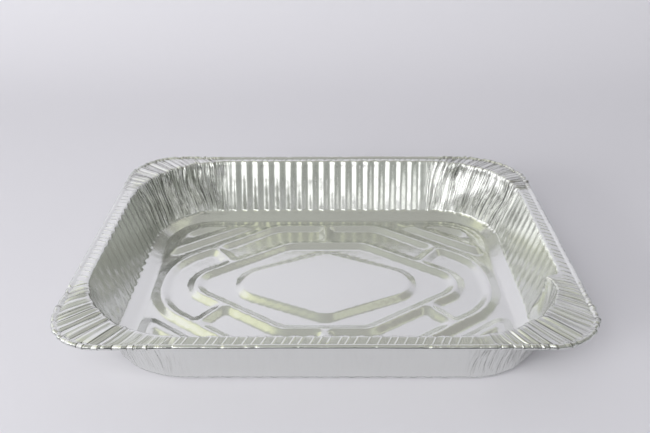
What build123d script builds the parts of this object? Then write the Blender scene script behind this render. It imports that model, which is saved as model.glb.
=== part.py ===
"""Half-size shallow foil tray: one sheet of aluminium, pressed, with a rolled rim.

Millimetres, +Z up. The origin is the middle of the underside, on the plane that the tray stands on.
The long side lies along X.
"""
from build123d import *
import math
import os

# Driving dimensions -------------------------------------------------------------------------------

length = 324.0              # over the rolled rim, along X
width = 264.0               # over the rolled rim, along Y
height = 46.0               # from the table to the top of the rolled rim
gauge = 0.2                 # sheet thickness

rim_corner_radius = 38.0    # outside of the rolled rim, seen from above
roll_diameter = 3.2         # the wire-like roll along the edge of the rim
roll_turn = 290.0           # degrees that the sheet is rolled through
rim_drop = 1.2              # flat rim below the top of the roll
rim_strip = 2.0             # flat sheet that is drawn in the same section as the roll
rim_width = 10.9            # flat rim and roll, along the straight sides
mouth_corner_radius = 62.0  # where the flat rim turns down into the wall

foot_inset_x = 23.6         # bottom of the wall, in from the outside of the rim
foot_inset_y = 23.6
foot_height = 4.8           # bottom of the wall above the table
foot_corner_radius = 50.0

ledge_run_x = 9.9           # sloping ledge between the wall and the base
ledge_run_y = 11.4
base_corner_radius = 35.0

flute_pitch = 9.4           # upright flutes pressed into the straight walls
flute_depth = 1.4
long_wall_plain = 8.0       # least plain wall between the last flute and the corner
short_wall_plain = 1.5
pleats_per_corner = 12      # gathers that take up the sheet in each corner
pleat_depth = 1.1

emboss_height = 2.5         # raised pattern of the base
slope_run = 6.0             # plan width of every slope in the pattern
ridge_half_width = 0.6      # flat top of a rib, each side of its centre line

outer_rib_inset_x = 9.2     # eight-sided ring rib, in from the edge of the base
outer_rib_inset_y = 11.0
outer_rib_side = 27.5       # half length of its straight side, to the sharp corner
outer_rib_end = 41.3
outer_rib_side_radius = 45.0
outer_rib_end_radius = 28.0

inner_rib_inset_x = 9.4     # six-sided rib, its sharp corners in from the ring rib
inner_rib_inset_y = 29.0
inner_rib_flat = 30.0
inner_rib_side_radius = 20.0
inner_rib_end_radius = 18.0

plateau_inset_x = 24.9      # diamond in the middle, its sharp corners in from the six-sided rib
plateau_inset_y = 15.0
plateau_side_radius = 19.0
plateau_end_radius = 11.0

bar_inset_x = 38.8          # middle of each slanting bar that ties the ribs, in from the ring rib
bar_inset_y = 45.5
pocket_corner_radius = 6.0
pocket_floor_radius = 0.8

corner_pad_gap = 3.7        # channel between the ring rib and each raised corner pad
corner_pad_inset_x = 8.5    # top edge of a pad, in from the edge of the base
corner_pad_inset_y = 10.0
corner_pad_radius = 26.0
corner_pad_tip_radius = 5.0
dimple_mouth = 0.66         # sunken dimple in a pad, as a share of the pad
dimple_floor = 0.24

filled_side = 0.95          # most of a side's length that its two round corners may take up
cut_overrun = 5.0           # how far a cutting shape runs past what it cuts
ledge_spread = 4.0          # how many times its own run the ledge's cutting shape spreads

# Worked out from them -----------------------------------------------------------------------------

rim_level = height - rim_drop
foot_half_x = length / 2 - foot_inset_x
foot_half_y = width / 2 - foot_inset_y
mouth_half_x = length / 2 - rim_width
mouth_half_y = width / 2 - rim_width
base_half_x = foot_half_x - ledge_run_x
base_half_y = foot_half_y - ledge_run_y
outer_rib_half_x = base_half_x - outer_rib_inset_x
outer_rib_half_y = base_half_y - outer_rib_inset_y
inner_rib_half_x = outer_rib_half_x - inner_rib_inset_x
inner_rib_half_y = outer_rib_half_y - inner_rib_inset_y
plateau_half_x = inner_rib_half_x - plateau_inset_x
plateau_half_y = inner_rib_half_y - plateau_inset_y
bar_middle = (outer_rib_half_x - bar_inset_x, outer_rib_half_y - bar_inset_y)
long_straight = min(foot_half_x - foot_corner_radius, mouth_half_x - mouth_corner_radius)
short_straight = min(foot_half_y - foot_corner_radius, mouth_half_y - mouth_corner_radius)
long_wall_flutes = int(2 * (long_straight - long_wall_plain) / flute_pitch)
short_wall_flutes = int(2 * (short_straight - short_wall_plain) / flute_pitch)
strip_rise = rim_level - gauge / 2 - (height - roll_diameter / 2)
strip_reach = math.sqrt((roll_diameter / 2 - gauge / 2) ** 2 - strip_rise ** 2)
diagonal_angle = math.degrees(math.atan2(outer_rib_half_y - outer_rib_side, outer_rib_half_x - outer_rib_end))


def between(low, high, z, z_low, z_high):
    """Value at height z on the straight line through two known heights."""
    return low + (high - low) * (z - z_low) / (z_high - z_low)


def wave(place, outward, count, depth):
    """Arcs that swing either side of a line; place(s) and outward(s) follow the line as s runs 0 to 1."""
    arcs = []
    for half in range(2 * count):
        start, middle, end = half / (2 * count), (half + 0.5) / (2 * count), (half + 1) / (2 * count)
        swing = depth / 2 if half % 2 == 0 else -depth / 2
        crest = place(middle) + outward(middle) * swing
        arcs.append(ThreePointArc(place(start), crest, place(end)).edge())
    return arcs


def side_outline(reach, run, flutes, z):
    """Wall that crosses +X at reach, seen from above: plain, then fluted, then plain again."""
    half = flutes * flute_pitch / 2
    outward = Vector(1, 0, 0)
    fluted = wave(lambda s: Vector(reach, half * (2 * s - 1), z), lambda s: outward, flutes, flute_depth)
    first = Line((reach, -run, z), (reach, -half, z)).edge()
    last = Line((reach, half, z), (reach, run, z)).edge()
    return [first] + fluted + [last]


def corner_outline(centre, radius):
    """Pleated quarter turn from +X to +Y, seen from above."""
    def outward(s):
        return Vector(math.cos(s * math.pi / 2), math.sin(s * math.pi / 2), 0)

    return wave(lambda s: centre + outward(s) * radius, outward, pleats_per_corner, pleat_depth)


def wall_outline(z, inset):
    """Closed outline of the wall at height z, moved inwards by inset."""
    half_x = between(foot_half_x, mouth_half_x, z, foot_height, rim_level) - inset
    half_y = between(foot_half_y, mouth_half_y, z, foot_height, rim_level) - inset
    radius = between(foot_corner_radius, mouth_corner_radius, z, foot_height, rim_level) - inset
    short_wall = (half_x, half_y - radius, short_wall_flutes)
    long_wall = (half_y, half_x - radius, long_wall_flutes)
    edges = []
    for quarter, (reach, run, flutes) in enumerate([short_wall, long_wall] * 2):
        outline = side_outline(reach, run, flutes, z) + corner_outline(Vector(reach - radius, run, z), radius)
        edges += [edge.rotate(Axis.Z, 90 * quarter) for edge in outline]
    return Wire(edges)


def ruled(lower, upper):
    """Solid with straight sides between two faces."""
    return Solid.make_loft([lower.outer_wire(), upper.outer_wire()], ruled=True)


def rounded_rectangle(half_x, half_y, radius, z):
    return Pos(0, 0, z) * RectangleRounded(2 * half_x, 2 * half_y, radius).face()


def wall_plug(inset, top):
    """Everything inside the fluted walls, from below the base up to top."""
    bottom = -cut_overrun
    return Solid.make_loft([wall_outline(bottom, inset), wall_outline(top, inset)], ruled=True)


def ledge_plug(lift):
    """Everything above the base and its sloping ledge, raised by lift; it spreads past the walls."""
    lower = rounded_rectangle(base_half_x, base_half_y, base_corner_radius, lift)
    upper = rounded_rectangle(base_half_x + ledge_spread * ledge_run_x,
                              base_half_y + ledge_spread * ledge_run_y,
                              base_corner_radius + ledge_spread * (foot_corner_radius - base_corner_radius),
                              lift + ledge_spread * foot_height)
    return ruled(lower, upper) + extrude(upper, amount=height)


def rounded_polygon(points, radii):
    """Flat face with a radius of its own at each corner, all smaller together if a side is too short."""
    corners = [Vector(*point) for point in points]
    following = corners[1:] + corners[:1]
    sides = [after - corner for corner, after in zip(corners, following)]
    turns = [math.radians(before.get_angle(side)) for before, side in zip(sides[-1:] + sides[:-1], sides)]
    runs = [radius * math.tan(turn / 2) for radius, turn in zip(radii, turns)]
    fit = [filled_side * side.length / (run + after)
           for side, run, after in zip(sides, runs, runs[1:] + runs[:1])]
    share = min([1.0] + fit)
    face = make_face(Polyline(*points, close=True)).face()
    for corner, radius in zip(corners, radii):
        vertex = face.vertices().sort_by_distance(corner)[0]
        face = fillet(vertex, radius * share).face()
    return face


# Pattern of the base ------------------------------------------------------------------------------
# Every raised or sunken shape is a ruled solid between its outline on the table plane and its outline
# at the top of the pattern, one slope further out or in.

def grown(face, amount):
    """The face with its edge moved outwards, or inwards if amount is negative."""
    return offset(face, amount=amount, kind=Kind.ARC).face()


def eased(face, radius):
    """The face with its sharp outer corners rounded."""
    return grown(grown(face, -radius), radius)


def shrunk(face, share):
    """The face at a share of its size, about its own middle."""
    small = scale(face, share)
    return (Pos(*(face.center() - small.center())) * small).face()


def raised(top):
    """Solid that stands on the table plane and slopes up to the face top."""
    return ruled(grown(top, slope_run), Pos(0, 0, emboss_height) * top)


def sunken(floor, mouth):
    """Space above a floor face on the table plane, widening to a mouth at the top of the pattern."""
    return ruled(floor, Pos(0, 0, emboss_height) * mouth)


def plateau():
    """Diamond in the middle of the base."""
    points = [(plateau_half_x, 0), (0, plateau_half_y), (-plateau_half_x, 0), (0, -plateau_half_y)]
    return raised(rounded_polygon(points, [plateau_side_radius, plateau_end_radius] * 2))


def inner_rib_line():
    """Centre line of the six-sided rib round the diamond, as a face."""
    x, y, flat = inner_rib_half_x, inner_rib_half_y, inner_rib_flat
    points = [(x, 0), (flat, y), (-flat, y), (-x, 0), (-flat, -y), (flat, -y)]
    return rounded_polygon(points, [inner_rib_side_radius, inner_rib_end_radius, inner_rib_end_radius] * 2)


def outer_rib_line():
    """Centre line of the eight-sided ring rib, as a face."""
    x, y, side, end = outer_rib_half_x, outer_rib_half_y, outer_rib_side, outer_rib_end
    points = [(x, -side), (x, side), (end, y), (-end, y), (-x, side), (-x, -side), (-end, -y), (end, -y)]
    at_side, at_end = outer_rib_side_radius, outer_rib_end_radius
    return rounded_polygon(points, [at_side, at_side, at_end, at_end] * 2)


def four_ways(shape):
    """The shape and its mirror images across the tray's two middle planes."""
    pair = [shape, mirror(shape, Plane.YZ)]
    return pair + [mirror(each, Plane.XZ) for each in pair]


def between_ribs(half_width):
    """The six areas left between the two ribs and the bars, each rib and bar being 2 half_width wide."""
    area = grown(outer_rib_line(), -half_width) - grown(inner_rib_line(), half_width)
    area -= Rectangle(2 * half_width, 2 * base_half_y)
    bar = Rectangle(2 * half_width, base_half_y).face()
    for cut in four_ways(Pos(*bar_middle) * Rot(0, 0, -diagonal_angle) * bar):
        area -= cut
    return area.faces().sort_by(lambda face: math.atan2(face.center().Y, face.center().X))


def pockets():
    """Spaces between the two ribs."""
    floors = between_ribs(ridge_half_width + slope_run)
    mouths = between_ribs(ridge_half_width)
    return [sunken(eased(floor, pocket_floor_radius), eased(mouth, pocket_corner_radius))
            for floor, mouth in zip(floors, mouths)]


def corner_pad():
    """Raised three-sided pad in the +X +Y corner, with a dimple in its top."""
    x, y = base_half_x - corner_pad_inset_x, base_half_y - corner_pad_inset_y
    clear = ridge_half_width + slope_run + corner_pad_gap + slope_run
    slope = math.tan(math.radians(diagonal_angle))
    level = outer_rib_side + clear / math.cos(math.radians(diagonal_angle))
    low_y = level + (outer_rib_half_x - x) * slope
    low_x = outer_rib_half_x - (y - level) / slope
    top = rounded_polygon([(x, y), (low_x, y), (x, low_y)],
                          [corner_pad_radius, corner_pad_tip_radius, corner_pad_tip_radius])
    floor, mouth = [shrunk(top, share) for share in (dimple_floor, dimple_mouth)]
    return raised(top) - sunken(floor, mouth)


def pattern():
    """Everything that stands up from the base."""
    ring = raised(grown(outer_rib_line(), ridge_half_width))
    basin_mouth = grown(inner_rib_line(), -ridge_half_width)
    ring -= sunken(grown(basin_mouth, -slope_run), basin_mouth)
    for pocket in pockets():
        ring -= pocket
    return [ring, plateau()] + four_ways(corner_pad())


# Rim ----------------------------------------------------------------------------------------------

def roll_section():
    """Section of the roll about its centre, outwards to +X, with a strip of the flat rim on its left."""
    radius = roll_diameter / 2
    start = 180 - math.degrees(math.asin(strip_rise / (radius - gauge / 2)))
    outer_arc = CenterArc((0, 0), radius, start, -roll_turn)
    inner_arc = CenterArc((0, 0), radius - gauge, start, -roll_turn)
    ends = [Line(outer_arc @ 0, inner_arc @ 0), Line(outer_arc @ 1, inner_arc @ 1)]
    sector = make_face([outer_arc, inner_arc] + ends)
    strip = Pos(-strip_reach - rim_strip / 2, strip_rise) * Rectangle(rim_strip, gauge)
    return (sector + strip).face()


def roll():
    """The roll along the whole edge of the rim."""
    radius = roll_diameter / 2
    centre_line = rounded_rectangle(length / 2 - radius, width / 2 - radius, rim_corner_radius - radius,
                                    height - radius).outer_wire()
    along = centre_line % 0
    start = Plane(origin=centre_line @ 0, x_dir=along.cross(Vector(0, 0, 1)), z_dir=-along)
    return sweep(start * roll_section(), centre_line)


def flat_rim():
    """Flat sheet inside the strip that runs into the roll."""
    inset = roll_diameter / 2 + strip_reach + rim_strip
    sheet = rounded_rectangle(length / 2 - inset, width / 2 - inset, rim_corner_radius - inset, rim_level)
    return extrude(sheet, amount=-gauge)


def tray():
    """The whole tray: the shape of its underside, less the same shape one gauge further in."""
    relief = pattern()
    outside = wall_plug(0, rim_level) & ledge_plug(0)
    inside = wall_plug(gauge, rim_level + cut_overrun) & ledge_plug(gauge)
    for shape in relief:
        outside -= shape
        inside -= Pos(0, 0, gauge) * shape
    return outside + flat_rim() + roll() - inside


os.makedirs("parts", exist_ok=True)
export_step(tray(), "parts/tray.step")
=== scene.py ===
# %% [markdown]
# # A pressed aluminium foil tray
# The tray is one sheet of soft aluminium that a press draws over a die in a single stroke. The straight
# walls come out fluted, the corners gather the spare metal in pleats, the edge is rolled over into a
# stiff bead, and the base is embossed with ribs. This notebook makes that sheet in two parts, the
# upright surround and the embossed base, sews them together and gives them the thickness of foil.

import bpy
import math
import numpy as np
from mathutils import Matrix, Vector, noise


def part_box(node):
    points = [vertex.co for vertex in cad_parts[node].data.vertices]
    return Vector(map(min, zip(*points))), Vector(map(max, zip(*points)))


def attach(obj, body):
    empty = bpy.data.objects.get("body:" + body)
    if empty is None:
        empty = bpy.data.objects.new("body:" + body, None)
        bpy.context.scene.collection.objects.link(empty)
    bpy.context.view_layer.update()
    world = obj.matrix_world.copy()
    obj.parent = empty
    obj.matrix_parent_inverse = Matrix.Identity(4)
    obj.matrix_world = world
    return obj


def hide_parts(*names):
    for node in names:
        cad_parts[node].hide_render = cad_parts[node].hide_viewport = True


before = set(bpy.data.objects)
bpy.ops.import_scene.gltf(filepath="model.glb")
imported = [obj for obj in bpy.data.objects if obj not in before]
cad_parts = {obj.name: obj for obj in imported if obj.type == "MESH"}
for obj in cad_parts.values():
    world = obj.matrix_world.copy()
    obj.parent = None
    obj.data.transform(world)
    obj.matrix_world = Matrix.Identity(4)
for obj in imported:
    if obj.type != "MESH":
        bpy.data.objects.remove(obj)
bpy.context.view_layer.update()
MM = 0.001
LENGTH, WIDTH, HEIGHT = ((end - start) / MM for start, end in zip(*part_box("tray")))
print("tray over its rim, mm:", round(LENGTH, 1), round(WIDTH, 1), round(HEIGHT, 1))

# %% [markdown]
# ## Sizes
# Everything is worked out in millimetres from the outside of the rim, which is known from the frame,
# and is turned to metres once, when the sheet is finished. Each outline of the surround is a rectangle
# with round corners, so a half length, a half width, a radius for each corner and a height describe it.
# A used tray has been squeezed and stacked, so its four corners are not quite alike.

# %% Sizes of the sheet, in millimetres
GAUGE = 0.2
ROLL_RADIUS = 1.6
ROLL_TURN = 290                    # degrees that the edge is rolled through
RIM_DROP = 1.2                     # from the top of the roll down to the flat rim
RIM_RISE = 0.9                     # the flat rim slopes up towards the mouth
MOUTH_INSET = 10.9
FOOT_INSET, FOOT_HEIGHT = 23.6, 4.8
LEDGE_X, LEDGE_Y, BASE_RADIUS = 9.9, 11.4, 35.0
FLUTE_PITCH, FLUTE_DEPTH = 9.4, 1.25
SHORT_FLUTES, LONG_FLUTES = 12, 17
# corner radii in the order +X+Y, -X+Y, -X-Y, +X-Y
RIM_RADII = np.array([50.0, 37.0, 34.0, 35.0])
MOUTH_RADII = np.array([64.0, 68.0, 70.0, 73.0])
FOOT_RADII = np.array([50.0, 50.0, 53.0, 50.0])

half_x, half_y = LENGTH / 2, WIDTH / 2
foot_x, foot_y = half_x - FOOT_INSET, half_y - FOOT_INSET
mouth_x, mouth_y = half_x - MOUTH_INSET, half_y - MOUTH_INSET
base_x, base_y = foot_x - LEDGE_X, foot_y - LEDGE_Y
rim_level = HEIGHT - RIM_DROP
print("foot of the wall, mm:", round(2 * foot_x, 1), round(2 * foot_y, 1))

# %% Small helpers


def deselect_all():
    """Nothing selected and nothing in edit mode, so that the next operator acts on its own piece alone."""
    if bpy.context.object and bpy.context.object.mode != "OBJECT":
        bpy.ops.object.mode_set(mode="OBJECT")
    bpy.ops.object.select_all(action="DESELECT")


def only(piece):
    """Selects one piece and makes it the active one."""
    deselect_all()
    piece.select_set(True)
    bpy.context.view_layer.objects.active = piece


def read_points(piece):
    """The piece's vertices as an array with one row for each."""
    flat = np.zeros(3 * len(piece.data.vertices))
    piece.data.vertices.foreach_get("co", flat)
    return flat.reshape(-1, 3)


def write_points(piece, points):
    """Puts the piece's vertices where the rows of the array say."""
    piece.data.vertices.foreach_set("co", points.ravel())
    piece.data.update()


# %% [markdown]
# ## The surround
# The rolled edge, the flat rim and the fluted wall are one band that runs round the tray. By hand it
# could be extruded ring by ring, but a foil corner has dozens of little folds, so the band starts as
# a flat grid instead: one column for each step round the tray and one row for each step from the roll
# down to the foot of the wall. A press function then moves each grid point to its place.
#
# Foil does not swell softly in a corner, it breaks into flat facets that meet in sharp folds. So the
# columns of a corner are not evenly spaced: each fold has one column on its crest and one close by on
# each side, and nothing in the flat facet between. The folds are then crisp at little cost.

# %% Columns: places round the tray
STEPS_PER_FLUTE = 8
PLAIN_STEP = 1.3                   # millimetres of plain wall past the last flute
FOLDS = 42                         # folds in one corner
FOLD_SHARE = 0.14                  # of a facet's width is bent at each of its folds
FACET_WIDTHS = (0.35, 1.8)         # narrowest and widest facet, against each other
SEED = 4
random = np.random.default_rng(SEED)


def side_steps(flutes):
    """Places along one straight side, from end to end of its flutes, one plain step past them each way."""
    fluted = flutes * FLUTE_PITCH / 2
    middle = np.linspace(-fluted, fluted, flutes * STEPS_PER_FLUTE + 1)
    return np.concatenate([[-fluted - PLAIN_STEP], middle, [fluted + PLAIN_STEP]])


side_end = [flutes * FLUTE_PITCH / 2 + PLAIN_STEP for flutes in (SHORT_FLUTES, LONG_FLUTES)]
columns = []                       # (quarter turns, corner, place or share, fold number, facet share)
for turns in range(4):
    flutes = (SHORT_FLUTES, LONG_FLUTES)[turns % 2]
    columns += [(turns, False, place, 0, 0.0) for place in side_steps(flutes)]
    widths = random.uniform(*FACET_WIDTHS, FOLDS + 1)
    crests = np.concatenate([[0], np.cumsum(widths) / widths.sum()])
    for number in range(FOLDS + 1):
        start, width = crests[number], crests[number + 1] - crests[number]
        for share in (0, FOLD_SHARE, 1 - FOLD_SHARE):
            if number + share > 0:
                columns.append((turns, True, start + width * share, number, share))
turn_of, in_corner, place_of, fold_of, facet_of = (np.array(values) for values in zip(*columns))
print("columns round the tray:", len(columns))

# %% Rows: outlines from the inner end of the roll down to the foot of the wall
ROLL_ROWS, WALL_ROWS = 11, 13
RIM_END = 1.1                                    # the flat rim stops this far outside the mouth
RIM_SHARES = (0.09, 0.36, 0.64, 0.9)             # rows across the flat rim
BEND_STEPS = ((-0.7, 0.08), (0.2, 0.9))          # rows of the bend: in past the mouth, and down
WALL_START, WALL_END = 0.07, 0.97                # shares of the wall with evenly spaced rows
rows = []                          # (half x, half y, corner radii, height, part, share across that part)
roll_start = 180 - math.degrees(math.asin((ROLL_RADIUS - RIM_DROP) / ROLL_RADIUS))
for angle in np.linspace(roll_start - ROLL_TURN, roll_start, ROLL_ROWS):
    out = ROLL_RADIUS * math.cos(math.radians(angle)) - ROLL_RADIUS
    rise = ROLL_RADIUS * math.sin(math.radians(angle)) - ROLL_RADIUS
    rows.append((half_x + out, half_y + out, RIM_RADII + out, HEIGHT + rise, "roll", 0.0))
flat_start, flat_end = -out, MOUTH_INSET - RIM_END
for share in RIM_SHARES:
    inset = flat_start + (flat_end - flat_start) * share
    radii = RIM_RADII - flat_start + (MOUTH_RADII - RIM_RADII + flat_start) * share
    rows.append((half_x - inset, half_y - inset, radii, rim_level + RIM_RISE * share, "rim", share))
for past, drop in BEND_STEPS:
    inset = MOUTH_INSET + past
    rows.append((half_x - inset, half_y - inset, MOUTH_RADII, rim_level + RIM_RISE - drop, "bend", 0.0))
for share in np.append(np.linspace(WALL_START, WALL_END, WALL_ROWS - 1), 1):
    rows.append((mouth_x + (foot_x - mouth_x) * share, mouth_y + (foot_y - mouth_y) * share,
                 MOUTH_RADII + (FOOT_RADII - MOUTH_RADII) * share,
                 rim_level + (FOOT_HEIGHT - rim_level) * share, "wall", share))
print("rows from the roll to the foot:", len(rows))


# %% Where a column meets a row
def outline(row, shift):
    """Points and outward directions, in plan, where every column meets one row's outline.

    shift moves the columns of the corners along the outline, as a share of the corner.
    """
    points, outwards = np.zeros((len(columns), 2)), np.zeros((len(columns), 2))
    for turns in range(4):
        reach, run = (row[0], row[1]) if turns % 2 == 0 else (row[1], row[0])
        mine = turn_of == turns
        place, corner = place_of[mine], in_corner[mine]
        # a column of the straight side may still meet the round end of the outline
        radius = np.where(place < 0, row[2][turns - 1], row[2][turns])
        past = np.clip(np.abs(place) - (run - radius), 0, None)
        side_x = reach - radius + np.sqrt(radius ** 2 - past ** 2)
        side_angle = np.sign(place) * np.arcsin(past / radius)
        # the columns of a corner share out its arc and the plain wall at both ends of it
        radius = row[2][turns]
        start, end = side_end[turns % 2], side_end[1 - turns % 2]
        before, after = max(0, run - radius - start), max(0, reach - radius - end)
        first = math.asin(max(0, start - run + radius) / radius)
        last = math.pi / 2 - math.asin(max(0, end - reach + radius) / radius)
        arc = radius * (last - first)
        along = np.clip(place + shift[mine], 0, 1) * (before + arc + after) - before
        bend = np.clip(first + along / radius, first, last)
        corner_x = reach - radius + radius * np.cos(bend) - np.clip(along - arc, 0, None)
        corner_y = run - radius + radius * np.sin(bend) + np.clip(along, None, 0)
        x, y = np.where(corner, corner_x, side_x), np.where(corner, corner_y, place)
        angle = np.where(corner, bend, side_angle)
        nx, ny = np.cos(angle), np.sin(angle)
        cos, sin = (1, 0, -1, 0)[turns], (0, 1, 0, -1)[turns]
        points[mine] = np.stack([cos * x - sin * y, sin * x + cos * y], axis=1)
        outwards[mine] = np.stack([cos * nx - sin * ny, sin * nx + cos * ny], axis=1)
    return points, outwards


# %% [markdown]
# ## Flutes, folds and crimps
# A press has upright grooves for the straight walls, so those flutes are an even wave. In a corner the
# foil has nowhere to go, and it gathers in folds: every second fold stands up and the others sink, no
# two by the same amount. They start at the outer edge of the flat rim, and on the wall they lean, wander
# and grow shallower on the way down. The roll is crimped at the same places, by amounts of its own, and
# it is nipped here and there all the way round, where fingers have held it.

# %% Uneven folds
FOLD_STEP, CORNER_STEP, DOWN_STEP = 0.83, 31, 2.2    # steps in the noise: to the next fold, corner, foot
GATHER_CORNER_STEP, GATHER_DOWN_STEP = 9, 1.6
SMALLEST_FOLD, FOLD_SPREAD, FOLD_SHIFT = 0.15, 1.1, 0.9
# layers of the noise, each a pattern of its own
WALL_FOLDS, CRIMPS, LEANING, WIDE, SAGGING, NIPPING, DENTING = 2.5, 6.5, 5.5, 8.1, 1.7, 4.4, 9.2


def soft(value, start, end):
    """Rises smoothly from 0 to 1 as value goes from start to end."""
    share = np.clip((value - start) / (end - start), 0, 1)
    return share * share * (3 - 2 * share)


def drift(points):
    """Smooth noise, between about -1 and 1, at each point of a list."""
    return np.array([noise.noise(point) for point in points])


def patches(points, size, layer):
    """Smooth noise over the plan, in patches of about a size in millimetres."""
    return drift([(x / size, y / size, layer) for x, y in points])


def fold_heights(depth, layer):
    """How far each fold of each corner stands up or sinks. depth is 0 at the rim and 1 at the foot."""
    heights = np.zeros((4, FOLDS + 2))
    for turns in range(4):
        uneven = drift([(number * FOLD_STEP + CORNER_STEP * turns, depth * DOWN_STEP, layer)
                        for number in range(FOLDS + 2)])
        size = SMALLEST_FOLD + FOLD_SPREAD * np.abs(uneven)
        heights[turns] = size * np.where(np.arange(FOLDS + 2) % 2 == 0, 1, -1) + FOLD_SHIFT * uneven
    return heights


def facets(heights, pinch):
    """The folded sheet at every column of a corner: straight between folds, pinched down at each fold."""
    here, there = heights[turn_of, fold_of], heights[turn_of, fold_of + 1]
    value = here + (there - here) * facet_of
    return np.where(in_corner, np.where(facet_of == 0, value - pinch * np.abs(here), value), 0)


def gathers(depth, steps, layer):
    """Wide soft pleats that several folds share, as they wander down a corner."""
    return np.where(in_corner, drift([
        (place * steps + GATHER_CORNER_STEP * turns, depth * GATHER_DOWN_STEP, layer)
        for turns, place in zip(turn_of, place_of)]), 0)


# %% A loose pleat at the right front corner
PLEAT_DEPTH = 9.8                  # millimetres that it stands in at the mouth
PLEAT_FADE = 0.85                  # share of that which is gone at the foot
PLEAT_PLACE, PLEAT_SLANT = -62, 16 # where it is along the mouth, and how much further back at the foot
PLEAT_BACK, PLEAT_FRONT = 3.4, 7.5 # how soon its steep back and its gentle front fall away
PLEAT_LIFT = 0.1                   # it rises by this share of its depth


def pleat(points, share):
    """How far the pleat stands in, at a share of the way down the wall."""
    past = points[:, 1] - (PLEAT_PLACE + PLEAT_SLANT * share)
    ridge = np.where(past > 0, np.exp(-past / PLEAT_BACK), np.exp(past / PLEAT_FRONT))
    return np.where(points[:, 0] > 0, PLEAT_DEPTH * ridge * (1 - PLEAT_FADE * share), 0)


# %% The press
# one value for each corner, in the order of its radii
LEAN = np.array([0.05, -0.04, 0.03, -0.05])      # how far its folds lean by the foot, as a share of it
CRUMPLED = np.array([1.3, 1.35, 0.4, 0.8])       # how hard its wall is folded
CORNER_FADE = 0.16                 # the folds fade in and out over this share of the corner
WANDER, WANDER_STEPS = 0.035, 3.1  # they also wander on the way, several together
WIDE_STEPS = 11.0                  # wide gathers in one corner, about
PINCH, CRIMP_PINCH = 0.7, 0.8      # a fold is pinched down by this share of its height
RIGHT_SIDE, LEFT_SIDE = 0, 2       # quarter turns
RIGHT_FLUTES = 0.3                 # the flutes of the right wall have been pressed flatter
LEFT_FADE, LEFT_FADE_END = 0.8, 40 # those of the left wall fade out towards the front
# how far each movement goes in each part, in millimetres; a size is the width of one sag, nip or dent
SAG, SAG_SIZE = 0.5, 45
ROLL_CRIMP, ROLL_CRIMP_LIFT = 0.6, 0.4
NIP, NIP_LIFT, NIP_SIZE = 1.3, 1.0, 2.6
NIP_FROM = 0.22                    # the roll is nipped only where the noise is above this
RIM_FOLD, RIM_GATHER, RIM_FLUTE, RIM_DENT, RIM_DENT_SIZE = 0.8, 0.9, 0.1, 0.15, 12
BEND_FOLD, BEND_GATHER, BEND_FOLD_LIFT = 0.6, 1.4, 0.35
WALL_FOLD, WALL_GATHER, WALL_DENT, WALL_DENT_SIZE = 0.85, 2.3, 0.35, 24

at_ends = soft(place_of, 0.0, CORNER_FADE) * soft(1 - place_of, 0.0, CORNER_FADE)
corner_ends = np.where(in_corner, at_ends, 0)
fluted = np.array([SHORT_FLUTES, LONG_FLUTES])[turn_of % 2] * FLUTE_PITCH / 2
wave = np.sin(2 * math.pi * (place_of + fluted) / FLUTE_PITCH)
wave = np.where(in_corner | (np.abs(place_of) > fluted), 0, FLUTE_DEPTH / 2 * wave)
wave *= np.where(turn_of == RIGHT_SIDE, RIGHT_FLUTES, 1)
wave *= np.where(turn_of == LEFT_SIDE, 1 - LEFT_FADE * soft(place_of, 0, LEFT_FADE_END), 1)


def depth_of(row):
    """Depth of a row, from 0 at the rim to 1 at the foot."""
    return max(0.0, (rim_level - row[3]) / (rim_level - FOOT_HEIGHT))


def press(row):
    """The finished ring of one row."""
    level, part, share = row[3:]
    depth = depth_of(row)
    lean = LEAN[turn_of] * depth + WANDER * gathers(depth, WANDER_STEPS, LEANING)
    points, outwards = outline(row, corner_ends * lean)
    folds = facets(fold_heights(depth, WALL_FOLDS), PINCH)
    wide = gathers(depth, WIDE_STEPS, WIDE)
    sag = SAG * patches(points, SAG_SIZE, SAGGING)
    push, lift = np.zeros(len(columns)), np.zeros(len(columns))
    if part == "roll":
        crimps = facets(fold_heights(0.0, CRIMPS), CRIMP_PINCH) * corner_ends
        nips = np.clip(patches(points, NIP_SIZE, NIPPING) - NIP_FROM, 0, None)
        push = ROLL_CRIMP * crimps - NIP * nips
        lift = ROLL_CRIMP_LIFT * crimps - NIP_LIFT * nips + sag
    elif part == "rim":
        crossing = RIM_FOLD * folds * (0.45 + 0.55 * share) + RIM_GATHER * wide * math.sin(math.pi * share)
        lift = corner_ends * crossing + sag
        lift += (RIM_FLUTE * wave + RIM_DENT * patches(points, RIM_DENT_SIZE, DENTING)) * share
    elif part == "bend":
        push = 0.8 * wave + corner_ends * (BEND_FOLD * folds + BEND_GATHER * wide) - pleat(points, 0.0)
        lift = BEND_FOLD_LIFT * folds * corner_ends + 0.6 * sag + PLEAT_LIFT * pleat(points, 0.0)
    else:
        strength = corner_ends * CRUMPLED[turn_of] * (1 - 0.5 * share)
        dents = patches(points, WALL_DENT_SIZE, level / WALL_DENT_SIZE) * math.sin(math.pi * share)
        push = wave * (1 - 0.25 * soft(share, 0.8, 1)) + strength * (WALL_FOLD * folds + WALL_GATHER * wide)
        push += WALL_DENT * dents - pleat(points, share)
        lift = PLEAT_LIFT * (1 - share) * pleat(points, share)
    return np.column_stack([points + outwards * push[:, None], level + lift])


# %% Press the surround
deselect_all()
bpy.ops.mesh.primitive_grid_add(x_subdivisions=len(columns), y_subdivisions=len(rows) - 1, size=2)
surround = bpy.context.object
surround.name = "surround"
grid = read_points(surround)
across = np.rint((grid[:, 0] + 1) / 2 * len(columns)).astype(int) % len(columns)
down = np.rint((grid[:, 1] + 1) / 2 * (len(rows) - 1)).astype(int)
rings = np.stack([press(row) for row in rows])
write_points(surround, rings[down, across])
print("pressed:", len(grid), "points")

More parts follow.
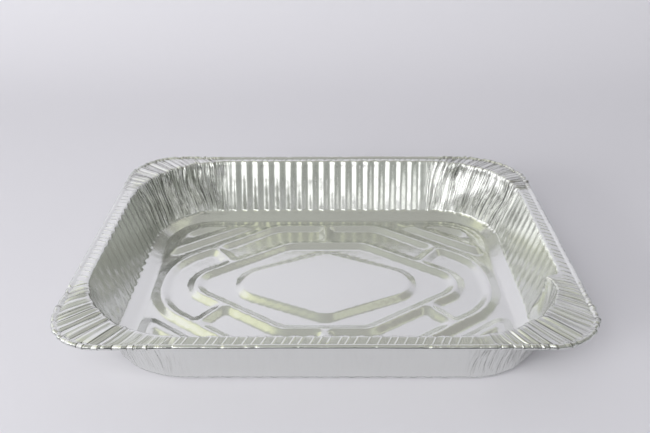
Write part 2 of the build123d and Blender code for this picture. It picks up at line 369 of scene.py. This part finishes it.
# %% [markdown]
# The finish needs to know where it is on the sheet, so that its creases run across the rim and down
# the walls. Each point keeps its place round the tray, as a point on a circle so that the last column
# meets the first, with its distance across the sheet as the height. Three more numbers say how crumpled
# the foil is there (fully in the corners, a little on the straight rim, not at all at the foot), how much
# painted shade darkens the point where it lies on the crest of a fold, and whether it is on the straight
# part of the flat rim.

# %% Measure each point's place on the sheet
mouth_ring = rings[ROLL_ROWS + len(RIM_SHARES), :, :2]
around = np.concatenate([[0], np.cumsum(np.linalg.norm(np.diff(mouth_ring, axis=0), axis=1))])
girth = around[-1] + np.linalg.norm(mouth_ring[0] - mouth_ring[-1])
circle = girth / (2 * math.pi)
middle_column = rings[:, SHORT_FLUTES * STEPS_PER_FLUTE // 2]
down_sheet = np.concatenate([[0], np.cumsum(np.linalg.norm(np.diff(middle_column, axis=0), axis=1))])
print("round the mouth, mm:", round(girth), "and across the sheet:", round(down_sheet[-1]))

# %% Keep it with the points
STRAIGHT_CRUMPLE = {"roll": 0.0, "rim": 0.12, "bend": 0.3, "wall": 0.05}    # outside the corners
FADE_START, FADE_END = 8, 1        # millimetres above the foot
FOLD_SHADE_STRENGTH, FOLD_SHADE_START = 1.3, 0.2         # painted shade on a fold grows with its height, and a small fold gets none


def keep(name, kind, field, values):
    """Stores a value with each point of the surround, from an array by row and column."""
    attribute = surround.data.attributes.new(name, kind, "POINT")
    attribute.data.foreach_set(field, values[down, across].ravel())


parts = [row[4] for row in rows]
fading = 1 - soft(down_sheet, down_sheet[-1] - FADE_START, down_sheet[-1] - FADE_END)
straight = np.array([STRAIGHT_CRUMPLE[part] for part in parts])[:, None]
crumple = (straight + (1 - straight) * (corner_ends * CRUMPLED[turn_of])) * fading[:, None]
# painted shade on the crest of each corner fold, darker for a higher fold
painted_fold_shade = np.zeros((len(rows), len(columns)))
for index, row in enumerate(rows):
    heights = fold_heights(0.0, CRIMPS) if row[4] == "roll" else fold_heights(depth_of(row), WALL_FOLDS)
    size = np.clip(FOLD_SHADE_STRENGTH * np.abs(heights)[turn_of, fold_of] - FOLD_SHADE_START, 0, 1)
    size = np.where(in_corner & (facet_of == 0), size, 0) * corner_ends
    painted_fold_shade[index] = size * (CRUMPLED[turn_of] if row[4] == "wall" else 1) * fading[index]
on_rim = np.array([part == "rim" for part in parts], float)[:, None] * (1 - corner_ends)
place = np.broadcast_arrays(circle * np.cos(around / circle), circle * np.sin(around / circle),
                            down_sheet[:, None])
keep("sheet_place", "FLOAT_VECTOR", "vector", np.stack(place, axis=2))
keep("crumple", "FLOAT", "value", crumple)
keep("painted_fold_shade", "FLOAT", "value", painted_fold_shade)
keep("rim_creases", "FLOAT", "value", on_rim)
print("points on a dark fold:", int((painted_fold_shade > 0).sum()))

# %% Close the surround
only(surround)
bpy.ops.object.mode_set(mode="EDIT")
bpy.ops.mesh.select_all(action="SELECT")
bpy.ops.mesh.remove_doubles(threshold=0.001)
bpy.ops.object.mode_set(mode="OBJECT")
print("surround:", len(surround.data.polygons), "faces")

# %% [markdown]
# ## The base
# The base is embossed between two dies: everything stands on one of two levels, with slopes of one
# width between them, and the folds between level and slope are crisp. A plain grid would show its
# steps along every slanting fold. So each outline is turned into a distance, the grid is lifted to
# that distance as if it were a height, and a level cut with Bisect leaves edges exactly along the
# outline. When all folds are cut in this way, the grid gets its true height.

# %% Sizes of the embossed pattern, in millimetres
EMBOSS = 2.5
SLOPE = 6.0
RIDGE = 0.6                        # half the flat top of a rib
FOLD = 0.8                         # half the width of a rounded fold
BAR = (80.5, 40.5)                 # middle of a slanting bar
PAD_INSET_X, PAD_INSET_Y, PAD_RADIUS, PAD_GAP, PAD_TIP = 8.5, 10.0, 26.0, 3.7, 5.0
PAD_RIM = 3.5

# the two corners that each outline has in the first quarter
plateau = [(85.0, 0.0), (0.0, 42.0)]
inner_rib = [(109.9, 0.0), (30.0, 57.0)]
outer_rib = [(base_x - 9.2, 27.5), (41.3, base_y - 11.0)]
# radius of those near the X axis, and of those near the Y axis
PLATEAU_RADII, INNER_RADII, OUTER_RADII = (19.0, 11.0), (20.0, 18.0), (45.0, 28.0)
print("base, mm:", round(2 * base_x, 1), round(2 * base_y, 1))


# %% Distances from the outlines
def closed(corners):
    """The four-way symmetric polygon that has these corners in its first quarter, in order round it."""
    points = []
    for side_x, side_y, step in ((1, 1, 1), (-1, 1, -1), (-1, -1, 1), (1, -1, -1)):
        for x, y in corners[::step]:
            point = (side_x * x, side_y * y)
            if not points or math.dist(points[-1], point) > 0.001:
                points.append(point)
    return points[:-1] if math.dist(points[0], points[-1]) < 0.001 else points


def moved_in(points, amount):
    """A convex polygon with every side moved in by an amount."""
    lines = []
    for (ax, ay), (bx, by) in zip(points, points[1:] + points[:1]):
        run = math.hypot(bx - ax, by - ay)
        normal = ((by - ay) / run, (ax - bx) / run)
        lines.append((normal, normal[0] * ax + normal[1] * ay - amount))
    corners = []
    for ((n1, d1), (n2, d2)) in zip(lines[-1:] + lines[:-1], lines):
        det = n1[0] * n2[1] - n1[1] * n2[0]
        corners.append(((d1 * n2[1] - d2 * n1[1]) / det, (n1[0] * d2 - n2[0] * d1) / det))
    return corners


def polygon_distance(x, y, points):
    """Distance from a polygon's edge, negative inside it."""
    nearest = np.full_like(x, 1e9)
    inside = np.zeros(x.shape, bool)
    for (ax, ay), (bx, by) in zip(points, points[1:] + points[:1]):
        ex, ey = bx - ax, by - ay
        share = np.clip(((x - ax) * ex + (y - ay) * ey) / (ex * ex + ey * ey), 0, 1)
        nearest = np.minimum(nearest, np.hypot(x - ax - share * ex, y - ay - share * ey))
        if ay != by:
            inside ^= ((ay > y) != (by > y)) & (x < ex * (y - ay) / ey + ax)
    return np.where(inside, -nearest, nearest)


def rounded_distance(corners, side_radius, end_radius):
    """Distance from a rounded outline, with one radius near the X axis and another near the Y axis."""
    points = closed(corners)
    side, end = moved_in(points, side_radius), moved_in(points, end_radius)
    (ax, ay), (bx, by) = corners

    def distance(x, y):
        near_side = (np.abs(x) - (ax + bx) / 2) * (ax - bx) + (np.abs(y) - (ay + by) / 2) * (ay - by) > 0
        return np.where(near_side, polygon_distance(x, y, side) - side_radius,
                        polygon_distance(x, y, end) - end_radius)
    return distance


def rounded_box(reach_x, reach_y, radii):
    """Distance from a rectangle with round corners, each with a radius of its own."""
    def distance(x, y):
        corner = np.where(y > 0, np.where(x > 0, 0, 1), np.where(x > 0, 3, 2))
        radius = np.broadcast_to(radii, 4)[corner]
        dx, dy = np.abs(x) - reach_x + radius, np.abs(y) - reach_y + radius
        return np.hypot(np.maximum(dx, 0), np.maximum(dy, 0)) + np.minimum(np.maximum(dx, dy), 0) - radius
    return distance


from_plateau = rounded_distance(plateau, *PLATEAU_RADII)
from_inner = rounded_distance(inner_rib, *INNER_RADII)
from_outer = rounded_distance(outer_rib, *OUTER_RADII)
from_base = rounded_box(base_x, base_y, BASE_RADIUS)
from_foot = rounded_box(foot_x, foot_y, FOOT_RADII)
from_pad_box = rounded_box(base_x - PAD_INSET_X, base_y - PAD_INSET_Y, PAD_RADIUS)

slant = Vector((outer_rib[1][0] - outer_rib[0][0], outer_rib[1][1] - outer_rib[0][1])).normalized()
across_slant = Vector((slant.y, -slant.x))


def from_bar(x, y):
    """Signed distance from the middle line of the slanting bar in each quarter."""
    return (np.abs(x) - BAR[0]) * slant.x + (np.abs(y) - BAR[1]) * slant.y


def from_pocket(x, y):
    """Distance from the floor of the pocket that lies here between the two ribs."""
    reach = RIDGE + SLOPE
    sides = [from_outer(x, y) + reach, reach - from_inner(x, y),
             reach - np.abs(x), reach - np.abs(from_bar(x, y))]
    outside = np.sqrt(sum(np.maximum(side, 0) ** 2 for side in sides))
    return np.where(outside > 0, outside, np.maximum.reduce(sides))


def from_pad(x, y):
    """Distance from the top edge of the raised pad in each corner."""
    box = from_pad_box(x, y)
    clear = RIDGE + 2 * SLOPE + PAD_GAP
    line = clear - ((np.abs(x) - outer_rib[0][0]) * across_slant.x
                    + (np.abs(y) - outer_rib[0][1]) * across_slant.y)
    rounded = np.hypot(np.maximum(box + PAD_TIP, 0), np.maximum(line + PAD_TIP, 0)) - PAD_TIP
    return np.where((box > -PAD_TIP) & (line > -PAD_TIP), rounded, np.maximum(box, line))


# %% Height of the base


def ramp(distance):
    """Rises from 0 to 1 over one slope, with rounded folds at its foot and its top."""
    def softened(q):
        return np.where(q > FOLD, q, np.where(q < -FOLD, 0, (q + FOLD) ** 2 / (4 * FOLD)))
    return (softened(distance) - softened(distance - SLOPE)) / SLOPE


def base_height(x, y):
    """Height of the sheet's upper face over the whole base and ledge."""
    inner, outer, edge, pad = from_inner(x, y), from_outer(x, y), from_base(x, y), from_pad(x, y)
    basin = np.maximum(1 - ramp(from_plateau(x, y)), ramp(inner + RIDGE + SLOPE))
    pad_top = np.minimum(1 - ramp(pad), 1 - ramp(-pad - PAD_RIM))
    border = np.maximum(1 - ramp(outer - RIDGE), pad_top)
    level = np.where(inner < 0, basin, np.where(outer < 0, ramp(from_pocket(x, y)), border))
    share = np.clip(edge / np.maximum(edge - from_foot(x, y), 0.001), 0, 1)
    return GAUGE + EMBOSS * level + (FOOT_HEIGHT - GAUGE) * share


# %% A cut along an outline
def cut_along(sheet, distance, levels, where=None, trim=False):
    """Cuts the sheet wherever distance(x, y) has one of the levels. trim removes what lies beyond."""
    for level in levels:
        points = read_points(sheet)
        points[:, 2] = distance(points[:, 0], points[:, 1])
        write_points(sheet, points)
        middles = np.zeros(3 * len(sheet.data.polygons))
        sheet.data.polygons.foreach_get("center", middles)
        middles = middles.reshape(-1, 3)
        chosen = np.ones(len(middles), bool) if where is None else where(middles[:, 0], middles[:, 1])
        only(sheet)
        bpy.ops.object.mode_set(mode="EDIT")
        bpy.ops.mesh.select_mode(type="FACE")
        bpy.ops.mesh.select_all(action="DESELECT")
        bpy.ops.object.mode_set(mode="OBJECT")
        sheet.data.polygons.foreach_set("select", chosen)
        bpy.ops.object.mode_set(mode="EDIT")
        bpy.ops.mesh.bisect(plane_co=(0, 0, level), plane_no=(0, 0, 1), clear_outer=trim, threshold=0.05)
        bpy.ops.object.mode_set(mode="OBJECT")


def within_inner(x, y):
    """True inside the inner rib."""
    return from_inner(x, y) < 0


def between_ribs(x, y):
    """True between the two ribs."""
    return (from_inner(x, y) > 0) & (from_outer(x, y) < 0)


def past_outer(x, y):
    """True outside the outer rib."""
    return from_outer(x, y) > 0


# %% Cut the base sheet along its folds
GRID_STEP = 3.0
SEWING_GAP = 1.4                   # between the base and the foot of the wall
deselect_all()
steps_x, steps_y = round(2 * foot_x / GRID_STEP), round(2 * foot_y / GRID_STEP)
bpy.ops.mesh.primitive_grid_add(x_subdivisions=steps_x, y_subdivisions=steps_y, size=2)
base = bpy.context.object
base.name = "base"
write_points(base, read_points(base) * (foot_x, foot_y, 1))

slope_folds = (-FOLD, FOLD, SLOPE - FOLD, SLOPE + FOLD)
cut_along(base, from_foot, [-SEWING_GAP], trim=True)
cut_along(base, from_base, (-FOLD, FOLD))
cut_along(base, from_inner, [0.0])
cut_along(base, from_outer, [0.0])
cut_along(base, lambda x, y: from_inner(x, y) + RIDGE + SLOPE, slope_folds, within_inner)
cut_along(base, from_plateau, slope_folds, within_inner)
cut_along(base, lambda x, y: x, [0.0], between_ribs)
cut_along(base, from_bar, [0.0], between_ribs)
cut_along(base, from_pocket, slope_folds, between_ribs)
cut_along(base, lambda x, y: from_outer(x, y) - RIDGE, slope_folds, past_outer)
cut_along(base, from_pad, slope_folds, past_outer)
cut_along(base, lambda x, y: -from_pad(x, y) - PAD_RIM, slope_folds[:3], past_outer)
points = read_points(base)
points[:, 2] = base_height(points[:, 0], points[:, 1])
write_points(base, points)
print("base:", len(base.data.polygons), "faces")

# %% [markdown]
# ## One sheet
# The real tray has no seam, but here the surround and the base are two meshes with a narrow gap between
# them. By hand one would select both edges of the gap and bridge them, but they have different numbers
# of points, so Fill is used: it lays triangles between any two loops. Solidify then gives the sheet its
# thickness downwards, and Weighted Normal lets the big flat faces set the shading beside each fold.

# %% Sew the two parts together
SEAM_REACH = 1.0                   # the open edges of the seam lie no higher than this above the foot
deselect_all()
base.select_set(True)
surround.select_set(True)
bpy.context.view_layer.objects.active = surround
bpy.ops.object.join()
tray = bpy.context.object
tray.name = "foil_tray"
only(tray)
bpy.ops.object.mode_set(mode="EDIT")
bpy.ops.mesh.select_mode(type="EDGE")
bpy.ops.mesh.select_all(action="DESELECT")
bpy.ops.mesh.select_non_manifold(extend=False, use_wire=False, use_boundary=True, use_multi_face=False,
                                 use_non_contiguous=False, use_verts=False)
bpy.ops.object.mode_set(mode="OBJECT")
points = read_points(tray)
edge_ends = np.zeros(2 * len(tray.data.edges), int)
tray.data.edges.foreach_get("vertices", edge_ends)
edge_ends = edge_ends.reshape(-1, 2)
open_edge = np.zeros(len(edge_ends), bool)
tray.data.edges.foreach_get("select", open_edge)
seam = open_edge & (points[edge_ends, 2].max(axis=1) < FOOT_HEIGHT + SEAM_REACH)
tray.data.edges.foreach_set("select", seam)
tray.data.vertices.foreach_set("select", np.isin(np.arange(len(points)), edge_ends[seam]))
bpy.ops.object.mode_set(mode="EDIT")
bpy.ops.mesh.fill(use_beauty=True)
bpy.ops.mesh.select_mode(type="FACE")
bpy.ops.mesh.select_all(action="SELECT")
bpy.ops.mesh.normals_make_consistent(inside=False)
bpy.ops.object.mode_set(mode="OBJECT")
largest = max(tray.data.polygons, key=lambda face: face.area)
if largest.normal.z < 0:
    bpy.ops.object.mode_set(mode="EDIT")
    bpy.ops.mesh.select_all(action="SELECT")
    bpy.ops.mesh.flip_normals()
    bpy.ops.object.mode_set(mode="OBJECT")
print("sewn:", len(tray.data.polygons), "faces")

# %% Give the sheet its thickness
write_points(tray, read_points(tray) * MM)
bpy.ops.object.modifier_add(type="SOLIDIFY")
solidify = tray.modifiers[-1]
solidify.thickness = GAUGE * MM
solidify.offset = -1
solidify.use_even_offset = False
bpy.ops.object.modifier_apply(modifier=solidify.name)
bpy.ops.object.shade_smooth()
bpy.ops.object.modifier_add(type="WEIGHTED_NORMAL")
weighted = tray.modifiers[-1]
weighted.keep_sharp = True
weighted.weight = 50
bpy.ops.object.modifier_apply(modifier=weighted.name)
triangles = sum(len(face.vertices) - 2 for face in tray.data.polygons)
print("finished sheet:", triangles, "triangles")

# %% Colours and nodes
COLOUR_A, COLOUR_B, COLOUR_OUT = 6, 7, 2     # a Mix node's sockets for colours, by number


def linear(hex_colour):
    """An sRGB hex colour as the linear RGBA that Blender wants."""
    values = [int(hex_colour[i:i + 2], 16) / 255 for i in (1, 3, 5)]
    return [v / 12.92 if v <= 0.04045 else ((v + 0.055) / 1.055) ** 2.4 for v in values] + [1]


def add_node(tree, kind, settings=(), links=()):
    """Adds a node, sets its values by name and links its inputs."""
    node = tree.nodes.new(kind)
    for name, value in dict(settings).items():
        if isinstance(name, int) or name in node.inputs:
            node.inputs[name].default_value = value
        else:
            setattr(node, name, value)
    for name, source in dict(links).items():
        tree.links.new(source, node.inputs[name])
    return node


def new_material(name):
    """A material with an empty Principled BSDF, and its node tree."""
    material = bpy.data.materials.new(name)
    material.use_nodes = True
    return material, material.node_tree, material.node_tree.nodes["Principled BSDF"]


# %% [markdown]
# ## Foil
# Household foil is soft aluminium rolled to a mirror and pressed with a trace of oil. It is a metal
# with the default index, a pale neutral colour and a low roughness, because the rollers leave grooves
# far too fine to see. Three reliefs break its reflections up: a broad ripple of a sheet that is too
# thin to lie flat, sharp creases that follow the sheet wherever it was crumpled, and fine raised lines
# that slant across the straight rim. In a tight fold the foil mirrors only itself, again and again, and
# that makes it dark. That shade is painted into the colour: the bottoms of the creases and the crests
# of the pressed folds get a dark painted shade.

# %% Foil: a mirror, uneven and creased
# the second colour is painted shade, for the bottoms of the creases and the crests of the pressed folds
FOIL_COLOUR, FOLD_SHADE_COLOUR = "#E8E9E7", "#5A5952"
RIPPLE_MM, RIPPLE_HEIGHT_MM = 22, 0.5
CREASE_MM, CREASE_LENGTH_MM, CREASE_HEIGHT_MM = 3.2, 60, 1.6
# width and strength of the painted shade at the bottom of each crease
GROOVE_SHADE_WIDTH, GROOVE_SHADE_DARKNESS = 0.03, 0.55
foil, tree, shader = new_material("bright_rolled_aluminium_foil")
shader.inputs["Metallic"].default_value = 1.0
shader.inputs["Roughness"].default_value = 0.2
on_object = add_node(tree, "ShaderNodeTexCoord").outputs["Object"]
on_sheet = add_node(tree, "ShaderNodeAttribute", {"attribute_name": "sheet_place"}).outputs["Vector"]
crumpled = add_node(tree, "ShaderNodeAttribute", {"attribute_name": "crumple"}).outputs["Fac"]
ripple = add_node(tree, "ShaderNodeTexNoise", {"Scale": 1 / (RIPPLE_MM * MM), "Detail": 2.0},
                  {"Vector": on_object}).outputs["Fac"]
stretched = add_node(tree, "ShaderNodeMapping", {
    "Scale": (1 / CREASE_MM, 1 / CREASE_MM, 1 / CREASE_LENGTH_MM)}, {"Vector": on_sheet}).outputs["Vector"]
streaks = add_node(tree, "ShaderNodeTexNoise", {"Scale": 1.0, "Detail": 3.0, "Roughness": 0.6},
                   {"Vector": stretched}).outputs["Fac"]
centred = add_node(tree, "ShaderNodeMath", {"operation": "SUBTRACT", 1: 0.5}, {0: streaks}).outputs[0]
sharp = add_node(tree, "ShaderNodeMath", {"operation": "ABSOLUTE"}, {0: centred}).outputs[0]
crease = add_node(tree, "ShaderNodeMath", {"operation": "MULTIPLY"}, {0: sharp, 1: crumpled}).outputs[0]
rippled = add_node(tree, "ShaderNodeBump", {"Strength": 1.0, "Distance": RIPPLE_HEIGHT_MM * MM},
                   {"Height": ripple}).outputs["Normal"]
creased = add_node(tree, "ShaderNodeBump", {"Strength": 1.0, "Distance": CREASE_HEIGHT_MM * MM},
                   {"Height": crease, "Normal": rippled}).outputs["Normal"]
print("creases, mm apart and long:", CREASE_MM, CREASE_LENGTH_MM)

# %% Foil: painted shade in the folds
# painted shade: a dark colour where a crease of the bump is at its bottom, as far as the foil is crumpled
groove_shade = add_node(tree, "ShaderNodeMapRange", {
    "From Min": 0.0, "From Max": GROOVE_SHADE_WIDTH, "To Min": GROOVE_SHADE_DARKNESS, "To Max": 0.0},
    {"Value": sharp}).outputs["Result"]
crease_shade = add_node(tree, "ShaderNodeMath", {"operation": "MULTIPLY"}, {0: groove_shade, 1: crumpled}).outputs[0]
# painted shade on the crests of the pressed folds, kept with the points of the surround
folded = add_node(tree, "ShaderNodeAttribute", {"attribute_name": "painted_fold_shade"}).outputs["Fac"]
painted_shade = add_node(tree, "ShaderNodeMath", {"operation": "MAXIMUM"}, {0: crease_shade, 1: folded}).outputs[0]
# the painted shade turns the foil colour towards the shade colour
colour = add_node(tree, "ShaderNodeMix", {
    "data_type": "RGBA", COLOUR_A: linear(FOIL_COLOUR), COLOUR_B: linear(FOLD_SHADE_COLOUR)},
    {"Factor": painted_shade}).outputs[COLOUR_OUT]
tree.links.new(colour, shader.inputs["Base Color"])

# %% Foil: raised lines across the straight rim
RIM_CREASE_MM, RIM_CREASE_HEIGHT_MM = 5.5, 0.2
RIM_SLANT = -0.45                  # millimetres along the rim for each one across it
RIM_CREASE_WIDTH = 0.16            # of the way from one line to the next
turned = add_node(tree, "ShaderNodeSeparateXYZ", links={"Vector": on_sheet}).outputs
angle = add_node(tree, "ShaderNodeMath", {"operation": "ARCTAN2"},
                 {0: turned["Y"], 1: turned["X"]}).outputs[0]
slanted = add_node(tree, "ShaderNodeMath", {"operation": "MULTIPLY", 1: RIM_SLANT / RIM_CREASE_MM},
                   {0: turned["Z"]}).outputs[0]
along = add_node(tree, "ShaderNodeMath", {"operation": "MULTIPLY_ADD", 1: circle / RIM_CREASE_MM},
                 {0: angle, 2: slanted}).outputs[0]
from_line = add_node(tree, "ShaderNodeTexVoronoi", {
    "voronoi_dimensions": "1D", "feature": "DISTANCE_TO_EDGE", "Scale": 1.0, "Randomness": 0.8},
    {"W": along}).outputs["Distance"]
line = add_node(tree, "ShaderNodeMapRange", {
    "From Min": 0.0, "From Max": RIM_CREASE_WIDTH, "To Min": 1.0, "To Max": 0.0},
    {"Value": from_line}).outputs["Result"]
straight_rim = add_node(tree, "ShaderNodeAttribute", {"attribute_name": "rim_creases"}).outputs["Fac"]
raised = add_node(tree, "ShaderNodeMath", {"operation": "MULTIPLY"}, {0: line, 1: straight_rim}).outputs[0]
lined = add_node(tree, "ShaderNodeBump", {"Strength": 1.0, "Distance": RIM_CREASE_HEIGHT_MM * MM},
                 {"Height": raised, "Normal": creased}).outputs["Normal"]
tree.links.new(lined, shader.inputs["Normal"])
tray.data.materials.append(foil)
print("foil nodes:", len(tree.nodes))

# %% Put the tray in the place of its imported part
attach(tray, "root")
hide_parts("tray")

# %% [markdown]
# ## Floor and backdrop
# The tray stands on a sheet of matt paper that curves up into the backdrop, as in a small studio, so
# there is no line behind it. Uncoated paper scatters light evenly and has no shine. The sheet is a grid
# with many steps one way, wrapped round the curve.

# %% Paper sweep, in metres
SWEEP_HALF, FLOOR_FRONT, FLOOR_BACK, BEND, WALL_TOP = 2.5, -2.2, 0.42, 0.45, 0.5
FLOOR_GAP = 0.0001                 # keeps the paper just below the underside of the tray
FLOOR_RUN = FLOOR_BACK - FLOOR_FRONT
deselect_all()
bpy.ops.mesh.primitive_grid_add(x_subdivisions=1, y_subdivisions=60, size=2)
sweep = bpy.context.object
sweep.name = "paper_sweep"
points = read_points(sweep)
run = (points[:, 1] + 1) / 2 * (FLOOR_RUN + BEND * math.pi / 2 + WALL_TOP)
bent = np.clip((run - FLOOR_RUN) / BEND, 0, math.pi / 2)
past = np.clip(run - FLOOR_RUN - BEND * math.pi / 2, 0, None)
points[:, 0] *= SWEEP_HALF
points[:, 1] = np.minimum(FLOOR_FRONT + run, FLOOR_BACK) + BEND * np.sin(bent)
points[:, 2] = BEND * (1 - np.cos(bent)) + past - FLOOR_GAP
write_points(sweep, points)
only(sweep)
bpy.ops.object.shade_smooth()
paper, tree, shader = new_material("matt_white_paper")
shader.inputs["Base Color"].default_value = linear("#E0DFE2")
shader.inputs["Roughness"].default_value = 0.8
sweep.data.materials.append(paper)
print("top of the backdrop, m:", round(points[:, 2].max(), 2))

# %% [markdown]
# ## Card and lights
# A mirror-bright rim needs something dark to mirror, or its edge is lost against the pale floor. So a
# card covered in felt, which swallows light, is held low in front, where only the mirror of the foil
# sees it. The light is soft and comes from the left: a long window, and two soft boxes that light the
# paper but are kept out of the foil's reflections, which the room below makes instead.

# %% A dark card for the bead to mirror
deselect_all()
bpy.ops.mesh.primitive_plane_add(size=1, location=(0, -0.31, 0.043))
card = bpy.context.object
card.name = "dark_card"
card.scale = (0.9, 0.2, 1)
card.rotation_euler = (math.radians(-25), 0, 0)
card.visible_camera = card.visible_diffuse = card.visible_shadow = False
felt, tree, shader = new_material("black_felt")
shader.inputs["Base Color"].default_value = linear("#3A3B3C")
shader.inputs["Roughness"].default_value = 1.0
card.data.materials.append(felt)


# %% Lights
def area_light(name, place, aim, size, power, colour, mirrored):
    """A soft box that faces a point. The foil mirrors it or not."""
    bpy.ops.object.light_add(type="AREA", location=place)
    light = bpy.context.object
    light.name = name
    light.visible_glossy = mirrored
    light.data.shape = "RECTANGLE"
    light.data.size, light.data.size_y = size
    light.data.energy = power
    light.data.color = linear(colour)[:3]
    light.rotation_euler = (Vector(aim) - Vector(place)).to_track_quat("-Z", "Y").to_euler()
    print(name, "of", power, "watts")


area_light("window", (-1.7, -1.8, 0.75), (0, 0, 0), (2.6, 1.1), 10, "#FFFFFF", True)
area_light("low_softbox", (-1.4, -1.2, 0.58), (0, 0.2, 0.1), (0.8, 0.6), 19, "#FDFDFF", False)
area_light("high_softbox", (-0.5, -1.7, 1.5), (0, 0.2, 0.1), (1.6, 1.2), 29, "#FDFDFF", False)

# %% [markdown]
# ## What the foil mirrors
# Bright foil has almost no colour of its own, so it shows whatever is round it. A plain white room
# would leave it flat and grey. Here the room is a set of soft gradients by direction, seen by the foil
# alone: white on the left where the window is and grey on the right, both ahead and behind the viewer,
# and overhead a grey ceiling with a straw-coloured strip on each side, which tints the slopes of the
# base. The paper is lit by a plain grey, and the camera sees a plain pale one past its edge.

# %% The room round the tray
BEHIND = (0.1, -0.4)               # Y of the directions where the room ahead turns to the room behind
OVERHEAD = (0.45, 0.8)             # Z of those where the walls turn to the ceiling
# colours from left to right, each at a share of the way
AHEAD_COLOURS = [(0.12, "#FFFFFF"), (0.4, "#DFE1DD"), (0.62, "#BEC2BB"), (1.0, "#8A8E86")]
BEHIND_COLOURS = [(0.2, "#FFFFFF"), (0.38, "#DDDFDB"), (0.5, "#B2B5B0"), (0.65, "#A6A9A3"), (1.0, "#8E918A")]
CEILING_COLOURS = [(0.22, "#FBFBF6"), (0.265, "#EBEDCE"), (0.31, "#E2E5C4"), (0.345, "#B3B5AE"),
                   (0.61, "#A7A7A2"), (0.645, "#DFE2CC"), (0.68, "#A3A29D"), (1.0, "#7C7B76")]
world = bpy.data.worlds.new("room")
bpy.context.scene.world = world
world.use_nodes = True
room = world.node_tree
background = room.nodes["Background"]
direction = add_node(room, "ShaderNodeTexCoord").outputs["Generated"]
looking = add_node(room, "ShaderNodeSeparateXYZ", links={"Vector": direction}).outputs


def left_to_right(stops):
    """Colours of the room from its left side to its right side."""
    share = add_node(room, "ShaderNodeMapRange", {"From Min": -1, "From Max": 1}, {"Value": looking["X"]})
    ramp = add_node(room, "ShaderNodeValToRGB", links={"Fac": share.outputs["Result"]})
    ramp.color_ramp.interpolation = "EASE"
    while len(ramp.color_ramp.elements) < len(stops):
        ramp.color_ramp.elements.new(0.5)
    for element, (at, colour) in zip(ramp.color_ramp.elements, stops):
        element.position, element.color = at, linear(colour)
    return ramp.outputs["Color"]


facing = add_node(room, "ShaderNodeMapRange", {"From Min": BEHIND[0], "From Max": BEHIND[1]},
                  {"Value": looking["Y"]}).outputs["Result"]
walls = add_node(room, "ShaderNodeMix", {"data_type": "RGBA"}, {
    "Factor": facing, COLOUR_A: left_to_right(AHEAD_COLOURS),
    COLOUR_B: left_to_right(BEHIND_COLOURS)}).outputs[COLOUR_OUT]
over = add_node(room, "ShaderNodeMapRange", {"From Min": OVERHEAD[0], "From Max": OVERHEAD[1]},
                {"Value": looking["Z"]}).outputs["Result"]
mirrored = add_node(room, "ShaderNodeMix", {"data_type": "RGBA"}, {
    "Factor": over, COLOUR_A: walls, COLOUR_B: left_to_right(CEILING_COLOURS)}).outputs[COLOUR_OUT]
ray = add_node(room, "ShaderNodeLightPath").outputs
plain = add_node(room, "ShaderNodeMix", {
    "data_type": "RGBA", COLOUR_A: linear("#929296"), COLOUR_B: linear("#CCCCD0")},
    {"Factor": ray["Is Camera Ray"]}).outputs[COLOUR_OUT]
seen = add_node(room, "ShaderNodeMix", {"data_type": "RGBA"}, {
    "Factor": ray["Is Glossy Ray"], COLOUR_A: plain, COLOUR_B: mirrored}).outputs[COLOUR_OUT]
room.links.new(seen, background.inputs["Color"])
background.inputs["Strength"].default_value = 1.15
print("room nodes:", len(room.nodes))

# %% [markdown]
# ## The camera
# It stands in front, a little above the tray, and looks down at it with a normal lens. Its turn is built
# from three directions, so that pitch, yaw and roll keep their plain meaning.

# %% The camera
PITCH, YAW, ROLL = math.radians(28.18), math.radians(-0.65), math.radians(-0.39)
forward = Vector((math.sin(YAW) * math.cos(PITCH), math.cos(YAW) * math.cos(PITCH), -math.sin(PITCH)))
level = Vector((math.cos(YAW), -math.sin(YAW), 0))
upward = level.cross(forward)
right = math.cos(ROLL) * level + math.sin(ROLL) * upward
top = -math.sin(ROLL) * level + math.cos(ROLL) * upward
bpy.ops.object.camera_add(location=(0.0050, -0.4658, 0.3067))
camera = bpy.context.object
camera.data.lens = 41.72
camera.data.sensor_width = 36
camera.rotation_euler = Matrix((right, top, -forward)).transposed().to_euler()
bpy.context.scene.camera = camera
bpy.context.scene.view_settings.view_transform = "Standard"
print("camera, m from the middle of the tray:", round(camera.location.length, 2))
